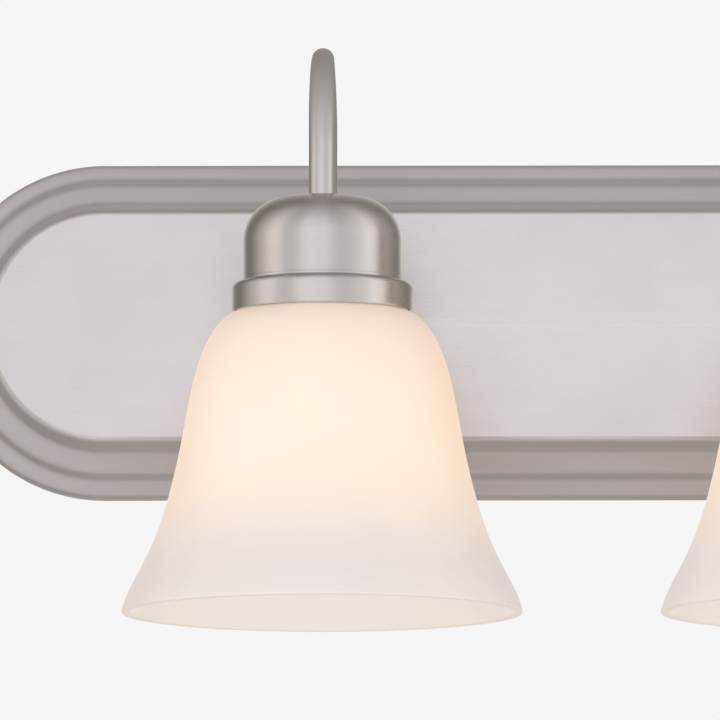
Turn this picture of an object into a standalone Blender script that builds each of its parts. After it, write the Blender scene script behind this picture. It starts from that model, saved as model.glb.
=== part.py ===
"""Vanity light bar: three bell shades on gooseneck arms along a stepped, pill-shaped backplate.

The frame is in metres with +Z up. X runs along the wall, the wall is the plane Y = 0, and the bar
stands out from it towards -Y. The origin is the middle of the crossbar's back face, which is the
backplate's centre too.
"""

from math import cos, pi, radians, sin

import bmesh
import bpy
from mathutils import Vector
from mathutils.geometry import interpolate_bezier

GAP = 0.0003
HOLE_ROOM = 0.0005
THREAD_ROOM = 0.0008

BACKPLATE_LENGTH = 0.657
BACKPLATE_HEIGHT = 0.12065
BACKPLATE_DEPTH = 0.0254
BACKPLATE_SHEET = 0.0008
BACKPLATE_END_STEPS = 16
# The rim's section from the wall forward: how far each point is in from the outline, and off the wall.
RIM_SECTION = (
    (0.0, 0.0),
    (0.0002, 0.0062),
    (0.0006, 0.0077),
    (0.0022, 0.0084),
    (0.0062, 0.0094),
    (0.0086, 0.0144),
    (0.0143, 0.0164),
    (0.0172, 0.0240),
    (0.0190, BACKPLATE_DEPTH),
)

LIGHT_SPACING = 0.189
LIGHT_AXIS_Y = -0.110
SIDES = {"left": -1, "centre": 0, "right": 1}

TUBE_RADIUS = 0.00475
TUBE_WALL = 0.001
BEND_RADIUS = 0.024
BEND_STEPS = 4
REAR_LEG_Y = LIGHT_AXIS_Y + 2 * BEND_RADIUS
ARCH_CENTRE_Z = 0.0635
# Bending draws the tube narrower towards the crown of its arch.
CROWN_SCALE = 0.83
ARM_REAR_Y = -0.0145
ARM_LOWER_Z = 0.0259
BEAD_SCALE = 1.6
BEAD_LENGTH = 0.0022
THREAD_SCALE = 0.88
# A change of the tube's radius happens over this length.
SCALE_STEP = 0.0001

LOCK_WASHER_RADIUS = 0.0083
LOCK_WASHER_THICKNESS = 0.001
LOCK_NUT_CORNER_RADIUS = 0.0081
LOCK_NUT_HEIGHT = 0.0036
CUP_NUT_CORNER_RADIUS = 0.0078
CUP_NUT_HEIGHT = 0.0025

HEXAGON = 6
TUBE_SIDES = 8
TURN_STEPS = 16
SMALL_TURN_STEPS = 12
BULB_STEPS = 14

COLLAR_RADIUS = 0.03185
COLLAR_TOP_Z = 0.0052
COLLAR_BOTTOM_Z = -0.005
COLLAR_SHEET = 0.001
COLLAR_HOLE_RADIUS = 0.0208
COLLAR_CORNER = 0.0022

CUP_RADIUS = 0.0278
CUP_TOP_Z = 0.0354
CUP_SHOULDER = 0.0155
CUP_SHEET = 0.001
CUP_HOLE_RADIUS = 0.0046

HOLDER_BARREL_RADIUS = 0.0195
HOLDER_BARREL_BOTTOM_Z = -0.0146
HOLDER_FLANGE_RADIUS = 0.024
HOLDER_FLANGE_THICKNESS = 0.002
HOLDER_BODY_RADIUS = 0.0175
HOLDER_TOP_Z = 0.0310
HOLDER_FLOOR_Z = 0.0144
HOLDER_FLOOR_TOP_Z = 0.0169
HOLDER_NECK_HEIGHT = 0.0036
HOLDER_CHAMBER_RADIUS = 0.0125
RIVET_HOLE_RADIUS = 0.0017
LEAD_HOLE_X = -0.0075

SHELL_BORE = 0.0135
SHELL_SHEET = 0.0005
SHELL_FLANGE_HOLE_RADIUS = 0.0080
SHELL_BOTTOM_Z = HOLDER_BARREL_BOTTOM_Z + 0.005
RIVET_RADIUS = 0.0014
RIVET_HEAD_RADIUS = 0.0025
CONTACT_RADIUS = 0.005
CONTACT_THICKNESS = 0.001

GLASS = 0.0032
SHADE_NECK_RADIUS = 0.0300
SHADE_HOLE_RADIUS = 0.0209
SHADE_NECK_Z = COLLAR_BOTTOM_Z - 0.0001
SHADE_RIM_RADIUS = 0.071
SHADE_RIM_Z = -0.1102
SHADE_TOP_Z = COLLAR_TOP_Z - COLLAR_SHEET - GAP

RING_FLANGE_RADIUS = 0.0252
RING_FLANGE_THICKNESS = 0.002
RING_SKIRT_RADIUS = 0.0226
RING_HEIGHT = 0.0075

BULB_RADIUS = 0.024
BULB_NECK_RADIUS = 0.0117
BULB_GLASS = 0.0009
BULB_BOTTOM_Z = -0.0776
BULB_CAP_RADIUS = 0.0130
BULB_CAP_SHEET = 0.0009
BULB_CAP_LENGTH = 0.0215
BULB_CAP_TOP_RADIUS = 0.0052
BULB_NECK_IN_CAP = 0.008
BULB_TIP_RADIUS = 0.0044
BULB_TIP_HEIGHT = 0.0011
BULB_TIP_Z = 0.0114

CROSSBAR_LENGTH = 0.110
CROSSBAR_WIDTH = 0.0254
CROSSBAR_THICKNESS = 0.0024
STUD_SPACING = 0.06985
BOX_SLOT_SPACING = 0.0889
BOX_SLOT_LENGTH = 0.0110
BOX_SLOT_WIDTH = 0.0048
STUD_RADIUS = 0.00208
STUD_LENGTH = 0.0385
STUD_POINT = 0.0006
TAPPED_HOLE_RADIUS = 0.0024
CAP_WASHER_BORE = 0.0026
CAP_WASHER_RADIUS = 0.0068
CAP_WASHER_THICKNESS = 0.001
CAP_NUT_RADIUS = 0.006
CAP_NUT_SKIRT = 0.009
CAP_NUT_BORE = 0.0025
CAP_NUT_BORE_DEPTH = 0.0125
CAP_NUT_CHAMFER = 0.001
GROUND_SCREW_X = 0.020
GROUND_SCREW_Z = -0.006
GROUND_SHANK_RADIUS = 0.002
GROUND_HEAD_RADIUS = 0.0042
GROUND_HEAD_HEIGHT = 0.0022
# The stud and the earth screw start this far inside the crossbar's back, so that nothing meets the wall.
BACK_SETBACK = 0.0002

LEAD_RADIUS = 0.001
LEAD_OFFSET = 0.00125
LEAD_SPREAD = 0.0020
LEAD_PLANE_Y = -0.0100
LEAD_LANE_Z = 0.0140
LEAD_LANE_STEP = 0.003
CONNECTOR_X = 0.062
CONNECTOR_MOUTH_Z = 0.0235
CONNECTOR_LENGTH = 0.018
CONNECTOR_MOUTH_RADIUS = 0.0064
CONNECTOR_SHOULDER_RADIUS = 0.0052
CONNECTOR_TIP_RADIUS = 0.0036
CONNECTOR_BORE_RADIUS = 0.0044
CONNECTOR_SHOULDER_Z = 0.008
CONNECTOR_BORE_DEPTH = 0.012


def clear_scene():
    for obj in list(bpy.data.objects):
        bpy.data.objects.remove(obj, do_unlink=True)


def new_collection(name):
    collection = bpy.data.collections.new(name)
    bpy.context.scene.collection.children.link(collection)
    return collection


def new_material(name, color, roughness, metallic=0.0, transmission=0.0, emission=0.0):
    material = bpy.data.materials.new(name)
    material.use_nodes = True
    material.diffuse_color = (*color, 1.0)
    shader = material.node_tree.nodes["Principled BSDF"]
    shader.inputs["Base Color"].default_value = (*color, 1.0)
    shader.inputs["Roughness"].default_value = roughness
    shader.inputs["Metallic"].default_value = metallic
    shader.inputs["Transmission Weight"].default_value = transmission
    shader.inputs["Emission Color"].default_value = (*color, 1.0)
    shader.inputs["Emission Strength"].default_value = emission
    return material


clear_scene()
PARTS = new_collection("vanity_light_bar")
CUTTERS = new_collection("cutters")
CUTTERS.hide_render = True

BRUSHED_NICKEL = new_material("brushed_nickel", (0.62, 0.59, 0.57), 0.34, metallic=1.0)
ZINC_STEEL = new_material("zinc_steel", (0.66, 0.67, 0.68), 0.38, metallic=1.0)
BRASS = new_material("brass", (0.78, 0.60, 0.28), 0.30, metallic=1.0)
FROSTED_GLASS = new_material("frosted_glass", (0.95, 0.92, 0.88), 0.45, transmission=0.4)
LAMP_GLASS = new_material("lamp_glass", (1.0, 0.86, 0.66), 0.35, emission=1.5)
PHENOLIC = new_material("phenolic", (0.03, 0.03, 0.032), 0.50)
SOLDER = new_material("solder", (0.60, 0.60, 0.62), 0.42, metallic=1.0)
GREEN_ZINC = new_material("green_zinc", (0.10, 0.34, 0.15), 0.40, metallic=0.6)
BLACK_INSULATION = new_material("black_insulation", (0.02, 0.02, 0.02), 0.45)
WHITE_INSULATION = new_material("white_insulation", (0.82, 0.82, 0.80), 0.45)
GREEN_INSULATION = new_material("green_insulation", (0.07, 0.36, 0.14), 0.45)
ORANGE_PLASTIC = new_material("orange_plastic", (0.85, 0.30, 0.05), 0.42)


def add_object(name, data, material, location=(0.0, 0.0, 0.0), collection=None):
    obj = bpy.data.objects.new(name, data)
    obj.location = location
    if material:
        data.materials.append(material)
    (collection or PARTS).objects.link(obj)
    return obj


def as_mesh(obj):
    """Replaces the object by a mesh of its evaluated shape, with its loose seams welded."""
    bpy.context.view_layer.update()
    evaluated = obj.evaluated_get(bpy.context.evaluated_depsgraph_get())
    mesh = bpy.data.meshes.new_from_object(evaluated)
    name, world, collection = obj.name, obj.matrix_world.copy(), obj.users_collection[0]
    bpy.data.objects.remove(obj, do_unlink=True)
    welded = bpy.data.objects.new(name, mesh)
    welded.matrix_world = world
    collection.objects.link(welded)
    weld = welded.modifiers.new("weld", "WELD")
    weld.merge_threshold = 1e-5
    mesh.shade_smooth()
    mesh.set_sharp_from_angle(angle=radians(35))
    return welded


def arc(centre, radius, start, end, steps):
    """Points (radius, height) of an arc in a turned section, by angles in degrees from the radial axis."""
    angles = (radians(start + (end - start) * step / steps) for step in range(steps + 1))
    return [(centre[0] + radius * cos(angle), centre[1] + radius * sin(angle)) for angle in angles]


def turned(name, section, material, location, steps=TURN_STEPS, closed=False, collection=None):
    """Turns a section of (radius, height) points about Z. It runs down its outer side."""
    points = [(radius, 0.0, height) for radius, height in section]
    edges = [(index, index + 1) for index in range(len(points) - 1)]
    if closed:
        edges.append((len(points) - 1, 0))
    mesh = bpy.data.meshes.new(name)
    mesh.from_pydata(points, edges, [])
    obj = add_object(name, mesh, material, location, collection)
    screw = obj.modifiers.new("turn", "SCREW")
    screw.steps = steps
    screw.render_steps = steps
    screw.use_merge_vertices = True
    screw.merge_threshold = 1e-6
    return obj


def turned_ring(name, inner, outer, low, high, material, location, steps=TURN_STEPS, collection=None):
    section = [(inner, high), (outer, high), (outer, low), (inner, low)]
    return turned(name, section, material, location, steps, closed=True, collection=collection)


def thicken(obj, thickness, side=-1.0):
    """Gives an open surface its sheet thickness. Side -1 is behind the surface."""
    solidify = obj.modifiers.new("sheet", "SOLIDIFY")
    solidify.thickness = thickness
    solidify.offset = side
    solidify.use_even_offset = True
    return obj


def face_room(obj):
    """Turns a piece made about Z so that its top points out from the wall."""
    obj.rotation_euler = (pi / 2, 0.0, 0.0)
    return obj


def cut(obj, cutters):
    for cutter in cutters:
        hole = obj.modifiers.new(cutter.name, "BOOLEAN")
        hole.operation = "DIFFERENCE"
        hole.solver = "EXACT"
        hole.object = cutter
    return obj


def cutter(name, radius, low, high, location, steps=SMALL_TURN_STEPS):
    """A cylinder about Z that is used to cut a hole."""
    section = [(0.0, high), (radius, high), (radius, low), (0.0, low)]
    obj = turned(name, section, None, location, steps, collection=CUTTERS)
    obj.hide_render = True
    obj.display_type = "WIRE"
    return obj


def tube(name, points, radius, material, scales=None, capped=True):
    """A tube along the points; scales widen or narrow it at each one."""
    curve = bpy.data.curves.new(name, "CURVE")
    curve.dimensions = "3D"
    curve.bevel_depth = radius
    curve.bevel_resolution = TUBE_SIDES // 2 - 2
    curve.use_fill_caps = capped
    spline = curve.splines.new("POLY")
    spline.points.add(len(points) - 1)
    for index, point in enumerate(points):
        spline.points[index].co = (*point, 1.0)
        spline.points[index].radius = scales[index] if scales else 1.0
    return add_object(name, curve, material)


def light_x(side):
    return SIDES[side] * LIGHT_SPACING


def light_axis(side):
    return (light_x(side), LIGHT_AXIS_Y, 0.0)


def stud_x(side):
    return SIDES[side] * STUD_SPACING / 2


def build_backplate():
    """The outline is stepped in and forward along the rim's section, which leaves the flat panel."""
    shell = bmesh.new()
    outline = round_ended(0.0, BACKPLATE_LENGTH, BACKPLATE_HEIGHT, BACKPLATE_END_STEPS)
    panel = shell.faces.new([shell.verts.new((x, 0.0, z)) for x, z in outline])
    panel.normal_update()
    for (inset, depth), (next_inset, next_depth) in zip(RIM_SECTION, RIM_SECTION[1:]):
        bmesh.ops.inset_individual(
            shell,
            faces=[panel],
            thickness=next_inset - inset,
            depth=next_depth - depth,
            use_even_offset=True,
        )
    mesh = bpy.data.meshes.new("backplate")
    shell.to_mesh(mesh)
    shell.free()
    plate = as_mesh(thicken(add_object("backplate", mesh, BRUSHED_NICKEL), BACKPLATE_SHEET))
    holes = [drill_backplate(f"arm_hole_{side}", TUBE_RADIUS, light_x(side)) for side in SIDES]
    holes += [drill_backplate(f"stud_hole_{side}", STUD_RADIUS, stud_x(side)) for side in ("left", "right")]
    return cut(plate, holes)


def drill_backplate(name, radius, x):
    """A cutter through the panel, with room for a piece of this radius."""
    reach = 0.005
    drill = cutter(name, radius + HOLE_ROOM, BACKPLATE_DEPTH - reach, BACKPLATE_DEPTH + reach, (x, 0.0, 0.0))
    return face_room(drill)


def outline_spline(curve, points):
    spline = curve.splines.new("POLY")
    spline.points.add(len(points) - 1)
    for target, (x, y) in zip(spline.points, points):
        target.co = (x, y, 0.0, 1.0)
    spline.use_cyclic_u = True


def round_ended(centre_x, length, width, steps):
    """The outline of a slot along X with half-round ends."""
    reach = (length - width) / 2
    right = arc((centre_x + reach, 0.0), width / 2, -90, 90, steps)
    left = arc((centre_x - reach, 0.0), width / 2, 90, 270, steps)
    return right + left


def circle(x, y, radius, steps):
    return arc((x, y), radius, 0, 360 - 360 / steps, steps - 1)


def rounded_bar(length, width, corner, steps):
    points = []
    for turn, (sign_x, sign_y) in enumerate(((1, 1), (-1, 1), (-1, -1), (1, -1))):
        centre = (sign_x * (length / 2 - corner), sign_y * (width / 2 - corner))
        points += arc(centre, corner, 90 * turn, 90 * turn + 90, steps)
    return points


def build_crossbar():
    """A flat strap with a slot for the box screw at each end and tapped holes for studs and earth."""
    curve = bpy.data.curves.new("crossbar", "CURVE")
    curve.dimensions = "2D"
    curve.fill_mode = "BOTH"
    curve.extrude = CROSSBAR_THICKNESS / 2
    outline_spline(curve, rounded_bar(CROSSBAR_LENGTH, CROSSBAR_WIDTH, 0.004, 3))
    for sign in (-1, 1):
        outline_spline(curve, round_ended(sign * BOX_SLOT_SPACING / 2, BOX_SLOT_LENGTH, BOX_SLOT_WIDTH, 6))
        outline_spline(curve, circle(sign * STUD_SPACING / 2, 0.0, TAPPED_HOLE_RADIUS, 12))
    outline_spline(curve, circle(GROUND_SCREW_X, GROUND_SCREW_Z, TAPPED_HOLE_RADIUS, 12))
    bar = add_object("crossbar", curve, ZINC_STEEL, (0.0, -CROSSBAR_THICKNESS / 2, 0.0))
    return face_room(bar)


def build_stud(side):
    """A threaded stud from the crossbar's back out through the backplate."""
    section = [(0.0, STUD_LENGTH), (STUD_RADIUS - STUD_POINT, STUD_LENGTH)]
    section += [(STUD_RADIUS, STUD_LENGTH - STUD_POINT), (STUD_RADIUS, BACK_SETBACK), (0.0, BACK_SETBACK)]
    return face_room(turned(f"stud_{side}", section, ZINC_STEEL, (stud_x(side), 0.0, 0.0), SMALL_TURN_STEPS))


def build_cap_nut(side):
    """The knob and its washer, with their origins on the stud's axis at the backplate's face."""
    location = (stud_x(side), -BACKPLATE_DEPTH, 0.0)
    washer_top = GAP + CAP_WASHER_THICKNESS
    ring = (CAP_WASHER_BORE, CAP_WASHER_RADIUS, GAP, washer_top)
    washer = turned_ring(f"cap_washer_{side}", *ring, BRUSHED_NICKEL, location, SMALL_TURN_STEPS)
    low = washer_top + GAP
    section = arc((0.0, low + CAP_NUT_SKIRT), CAP_NUT_RADIUS, 90, 0, 4)
    section += [(CAP_NUT_RADIUS, low + CAP_NUT_CHAMFER), (CAP_NUT_RADIUS - CAP_NUT_CHAMFER, low)]
    bore_end = low + CAP_NUT_BORE_DEPTH
    section += [(CAP_NUT_BORE, low), (CAP_NUT_BORE, bore_end), (0.0, bore_end)]
    nut = turned(f"cap_nut_{side}", section, BRUSHED_NICKEL, location, SMALL_TURN_STEPS)
    return face_room(washer), face_room(nut)


def build_ground():
    """The green screw in the crossbar, and the lead from it to the backplate's inside."""
    location = (GROUND_SCREW_X, 0.0, GROUND_SCREW_Z)
    head_low = CROSSBAR_THICKNESS + GAP
    head_top = head_low + GROUND_HEAD_HEIGHT
    section = [(0.0, head_top), (GROUND_HEAD_RADIUS - 0.0006, head_top - 0.0004)]
    section += [(GROUND_HEAD_RADIUS, head_low), (GROUND_SHANK_RADIUS, head_low)]
    section += [(GROUND_SHANK_RADIUS, BACK_SETBACK), (0.0, BACK_SETBACK)]
    face_room(turned("ground_screw", section, GREEN_ZINC, location, SMALL_TURN_STEPS))
    beside_head = GROUND_SCREW_X - GROUND_HEAD_RADIUS - GAP - LEAD_RADIUS
    start = Vector((beside_head, -head_low - 0.0012, GROUND_SCREW_Z + 0.003))
    turns = [
        start,
        Vector((start.x, start.y, -0.020)),
        Vector((0.004, -0.009, -0.028)),
        Vector((-0.012, -0.017, -0.031)),
        Vector((-0.024, -BACKPLATE_DEPTH + BACKPLATE_SHEET + LEAD_RADIUS + GAP, -0.030)),
    ]
    tube("ground_wire", smooth_route(turns, 4), LEAD_RADIUS, GREEN_INSULATION)


def smooth_route(turns, steps):
    """Points along a curve through the turns, whose slope at each one follows its neighbours."""
    points = [Vector(turns[0])]
    for index in range(len(turns) - 1):
        here, there = Vector(turns[index]), Vector(turns[index + 1])
        before = Vector(turns[max(index - 1, 0)])
        after = Vector(turns[min(index + 2, len(turns) - 1)])
        handle = (there - here).length / 3
        leaving = (there - before).normalized() * handle
        arriving = (after - here).normalized() * handle
        points += interpolate_bezier(here, here + leaving, there - arriving, there, steps + 1)[1:]
    return points


def arm_path(x, steps=BEND_STEPS):
    """The gooseneck's centre line from the bead at the backplate, up, over and down to the cup."""
    points = []
    for step in range(steps + 1):
        angle = radians(90 * step / steps)
        points.append((x, REAR_LEG_Y + BEND_RADIUS * (1 - sin(angle)), BEND_RADIUS * (1 - cos(angle))))
    for step in range(2 * steps + 1):
        angle = radians(90 * step / steps)
        arch_y = REAR_LEG_Y - BEND_RADIUS * (1 - cos(angle))
        points.append((x, arch_y, ARCH_CENTRE_Z + BEND_RADIUS * sin(angle)))
    return [Vector(point) for point in points]


def arch_scale(z):
    """How wide the tube is at this height, next to its legs."""
    rise = max(0.0, z - ARCH_CENTRE_Z) / BEND_RADIUS
    return 1.0 - (1.0 - CROWN_SCALE) * rise**2


def build_arm(side):
    """The tube, with an upset bead that stops it at the backplate and a reduced end for the cup."""
    x = light_x(side)
    face = -BACKPLATE_DEPTH - GAP
    bead = [(ARM_REAR_Y, 1.0), (face + SCALE_STEP, 1.0), (face, BEAD_SCALE), (face - BEAD_LENGTH, BEAD_SCALE)]
    bead.append((face - 1.4 * BEAD_LENGTH, 1.0))
    stretch = [(Vector((x, y, 0.0)), scale) for y, scale in bead]
    stretch += [(point, arch_scale(point.z)) for point in arm_path(x)]
    shoulder = CUP_TOP_Z + GAP
    for z, scale in ((shoulder, 1.0), (shoulder - SCALE_STEP, THREAD_SCALE), (ARM_LOWER_Z, THREAD_SCALE)):
        stretch.append((Vector((x, LIGHT_AXIS_Y, z)), scale))
    points = [point for point, scale in stretch]
    scales = [scale for point, scale in stretch]
    arm = tube(f"arm_{side}", points, TUBE_RADIUS, BRUSHED_NICKEL, scales, capped=False)
    return as_mesh(thicken(arm, TUBE_WALL))


def build_arm_fixings(side):
    """The lock washer and hexagon nut behind the backplate, and the nut inside the cup."""
    location = (light_x(side), 0.0, 0.0)
    bore = TUBE_RADIUS + GAP
    washer_high = BACKPLATE_DEPTH - BACKPLATE_SHEET - GAP
    washer_low = washer_high - LOCK_WASHER_THICKNESS
    ring = (bore, LOCK_WASHER_RADIUS, washer_low, washer_high)
    face_room(turned_ring(f"arm_lock_washer_{side}", *ring, ZINC_STEEL, location, SMALL_TURN_STEPS))
    nut_high = washer_low - GAP
    ring = (bore, LOCK_NUT_CORNER_RADIUS, nut_high, LOCK_NUT_HEIGHT)
    for piece in hexagon_nut(f"arm_lock_nut_{side}", *ring, location):
        face_room(piece)
    nut_high = CUP_TOP_Z - CUP_SHEET - GAP
    ring = (CUP_HOLE_RADIUS, CUP_NUT_CORNER_RADIUS, nut_high, CUP_NUT_HEIGHT)
    hexagon_nut(f"cup_nut_{side}", *ring, light_axis(side))


def hexagon_nut(name, bore, corner_radius, high, height, location):
    """A nut about Z that hangs from its high face, and the cutter of its bore."""
    low = high - height
    section = [(0.0, high), (corner_radius, high), (corner_radius, low), (0.0, low)]
    nut = turned(name, section, ZINC_STEEL, location, HEXAGON)
    drill = cutter(f"{name}_bore", bore, low - height, high + height, location)
    return cut(nut, [drill]), drill


def build_cup(side):
    shoulder_centre = (CUP_RADIUS - CUP_SHOULDER, CUP_TOP_Z - CUP_SHOULDER)
    section = [(CUP_HOLE_RADIUS, CUP_TOP_Z)]
    section += arc(shoulder_centre, CUP_SHOULDER, 90, 0, 3)
    section.append((CUP_RADIUS, COLLAR_TOP_Z + GAP))
    cup = turned(f"socket_cup_{side}", section, BRUSHED_NICKEL, light_axis(side))
    return as_mesh(thicken(cup, CUP_SHEET))


def build_collar(side):
    corner_centre = (COLLAR_RADIUS - COLLAR_CORNER, COLLAR_TOP_Z - COLLAR_CORNER)
    section = [(COLLAR_HOLE_RADIUS, COLLAR_TOP_Z)]
    section += arc(corner_centre, COLLAR_CORNER, 90, 0, 2)
    section.append((COLLAR_RADIUS, COLLAR_BOTTOM_Z))
    collar = turned(f"shade_collar_{side}", section, BRUSHED_NICKEL, light_axis(side))
    return as_mesh(thicken(collar, COLLAR_SHEET))


def build_lampholder(side):
    """The insulating body: a neck for the arm's thread, a wiring chamber, a floor and a threaded barrel."""
    location = light_axis(side)
    flange_low = COLLAR_TOP_Z + GAP
    flange_high = flange_low + HOLDER_FLANGE_THICKNESS
    shell_room = SHELL_BORE + SHELL_SHEET + 2 * GAP
    chamber_top = HOLDER_TOP_Z - HOLDER_NECK_HEIGHT
    section = [
        (CUP_HOLE_RADIUS, HOLDER_TOP_Z),
        (HOLDER_BODY_RADIUS, HOLDER_TOP_Z),
        (HOLDER_BODY_RADIUS, flange_high),
        (HOLDER_FLANGE_RADIUS, flange_high),
        (HOLDER_FLANGE_RADIUS, flange_low),
        (HOLDER_BARREL_RADIUS, flange_low),
        (HOLDER_BARREL_RADIUS, HOLDER_BARREL_BOTTOM_Z),
        (shell_room, HOLDER_BARREL_BOTTOM_Z),
        (shell_room, HOLDER_FLOOR_Z),
        (RIVET_HOLE_RADIUS, HOLDER_FLOOR_Z),
        (RIVET_HOLE_RADIUS, HOLDER_FLOOR_TOP_Z),
        (HOLDER_CHAMBER_RADIUS, HOLDER_FLOOR_TOP_Z),
        (HOLDER_CHAMBER_RADIUS, chamber_top),
        (CUP_HOLE_RADIUS, chamber_top),
    ]
    body = turned(f"lampholder_{side}", section, PHENOLIC, location, closed=True)
    hole_at = (location[0] + LEAD_HOLE_X, location[1], 0.0)
    low, high = HOLDER_FLOOR_Z - 0.001, HOLDER_FLOOR_TOP_Z + 0.001
    lead_hole = cutter(f"lead_hole_{side}", LEAD_RADIUS + HOLE_ROOM, low, high, hole_at, TUBE_SIDES)
    return cut(body, [lead_hole])


def build_socket_metal(side):
    """The brass shell that takes the bulb's thread, and the contact riveted through the floor."""
    location = light_axis(side)
    outer = SHELL_BORE + SHELL_SHEET
    top = HOLDER_FLOOR_Z - GAP
    under_flange = top - SHELL_SHEET
    section = [(SHELL_FLANGE_HOLE_RADIUS, top), (outer, top), (outer, SHELL_BOTTOM_Z)]
    section += [(SHELL_BORE, SHELL_BOTTOM_Z), (SHELL_BORE, under_flange)]
    section.append((SHELL_FLANGE_HOLE_RADIUS, under_flange))
    turned(f"screw_shell_{side}", section, BRASS, location, closed=True)
    head_low = HOLDER_FLOOR_TOP_Z + GAP
    head_high = head_low + CONTACT_THICKNESS
    contact_low = BULB_TIP_Z + GAP
    contact_high = contact_low + CONTACT_THICKNESS
    contact = [(0.0, head_high), (RIVET_HEAD_RADIUS, head_high), (RIVET_HEAD_RADIUS, head_low)]
    contact += [(RIVET_RADIUS, head_low), (RIVET_RADIUS, contact_high), (CONTACT_RADIUS, contact_high)]
    contact += [(CONTACT_RADIUS, contact_low), (0.0, contact_low)]
    turned(f"centre_contact_{side}", contact, BRASS, location, SMALL_TURN_STEPS)


def shade_outline():
    """The bell's outer side below the collar: a quick swell, then a long waist that flares to the rim."""
    under_collar = Vector((SHADE_NECK_RADIUS + 0.0004, 0.0, SHADE_NECK_Z))
    waist = Vector((0.0484, 0.0, -0.0426))
    rim = Vector((SHADE_RIM_RADIUS, 0.0, SHADE_RIM_Z))
    shoulder, hip = Vector((0.0426, 0.0, -0.0097)), Vector((0.0465, 0.0, -0.0323))
    skirt, lip = Vector((0.0577, 0.0, -0.0932)), Vector((0.0674, 0.0, -0.0947))
    swell = interpolate_bezier(under_collar, shoulder, hip, waist, 5)
    flare = interpolate_bezier(waist, skirt, lip, rim, 5)
    return [(point.x, point.z) for point in swell + flare[1:]]


def build_shade(side):
    """The bell glass hangs by the flat top of its neck, which has a hole for the lampholder's barrel."""
    section = [(SHADE_HOLE_RADIUS, SHADE_TOP_Z), (SHADE_NECK_RADIUS, SHADE_TOP_Z)]
    section += shade_outline()
    shade = turned(f"shade_{side}", section, FROSTED_GLASS, light_axis(side))
    return as_mesh(thicken(shade, GLASS))


def build_shade_ring(side):
    """The threaded ring: a flange against the glass and a skirt to grip."""
    bore = HOLDER_BARREL_RADIUS + THREAD_ROOM
    top = SHADE_TOP_Z - GLASS - GAP
    flange_low = top - RING_FLANGE_THICKNESS
    bottom = top - RING_HEIGHT
    section = [(bore, top), (RING_FLANGE_RADIUS, top), (RING_FLANGE_RADIUS, flange_low)]
    section += [(RING_SKIRT_RADIUS, flange_low), (RING_SKIRT_RADIUS, bottom), (bore, bottom)]
    return turned(f"shade_ring_{side}", section, PHENOLIC, light_axis(side), closed=True)


def build_bulb(side):
    """The lamp hangs cap up: a glass envelope, a screw cap with its insulator, and the solder contact."""
    location = light_axis(side)
    tip_low = BULB_TIP_Z - BULB_TIP_HEIGHT
    tip = [(0.0, BULB_TIP_Z), (BULB_TIP_RADIUS - 0.0016, BULB_TIP_Z), (BULB_TIP_RADIUS, BULB_TIP_Z - 0.0005)]
    tip += [(BULB_TIP_RADIUS, tip_low), (0.0, tip_low)]
    turned(f"bulb_tip_{side}", tip, SOLDER, location, SMALL_TURN_STEPS)
    top = tip_low - GAP
    cap_low = top - BULB_CAP_LENGTH
    inner = BULB_CAP_RADIUS - BULB_CAP_SHEET
    cap = [(0.0, top), (BULB_CAP_TOP_RADIUS, top), (0.0098, top - 0.003), (BULB_CAP_RADIUS, top - 0.0042)]
    cap += [(BULB_CAP_RADIUS, cap_low), (inner, cap_low), (inner, top - 0.006), (0.0, top - 0.006)]
    turned(f"bulb_cap_{side}", cap, BRASS, location)
    neck_top = cap_low + BULB_NECK_IN_CAP
    neck_low = cap_low - 0.002
    belly = BULB_BOTTOM_Z + BULB_RADIUS
    swell_steps = 4
    globe = [(BULB_NECK_RADIUS, neck_top)]
    for step in range(swell_steps + 1):
        along = step / swell_steps
        widening = (BULB_RADIUS - BULB_NECK_RADIUS) * (1 - cos(pi * along)) / 2
        globe.append((BULB_NECK_RADIUS + widening, neck_low + (belly - neck_low) * along))
    globe += arc((0.0, belly), BULB_RADIUS, 0, -90, 4)[1:]
    glass = turned(f"bulb_globe_{side}", globe, LAMP_GLASS, location, BULB_STEPS)
    return as_mesh(thicken(glass, BULB_GLASS))


def build_leads(side):
    """Two wires from the lampholder, back through the arm and along the backplate to the connectors."""
    x = light_x(side)
    slot = SIDES[side]
    for name, sign, material in (("hot_lead", 1, BLACK_INSULATION), ("neutral_lead", -1, WHITE_INSULATION)):
        lead_x = x + sign * LEAD_OFFSET
        if name == "hot_lead":
            terminal_z = HOLDER_FLOOR_TOP_Z + 2 * GAP + CONTACT_THICKNESS
            turns = [(x, LIGHT_AXIS_Y, terminal_z), (x + 0.0006, LIGHT_AXIS_Y, terminal_z + 0.003)]
        else:
            terminal_x = x + LEAD_HOLE_X
            turns = [(terminal_x, LIGHT_AXIS_Y, z) for z in (HOLDER_FLOOR_Z, HOLDER_FLOOR_TOP_Z)]
            turns.append((x - 0.0055, LIGHT_AXIS_Y, HOLDER_FLOOR_TOP_Z + 0.005))
        turns.append((lead_x, LIGHT_AXIS_Y, ARM_LOWER_Z))
        route = smooth_route(turns, 2)
        route += arm_path(lead_x)[::-1]
        route += smooth_route(pan_route(lead_x, sign, slot), 2)
        tube(f"{name}_{side}", route, LEAD_RADIUS, material)


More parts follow.
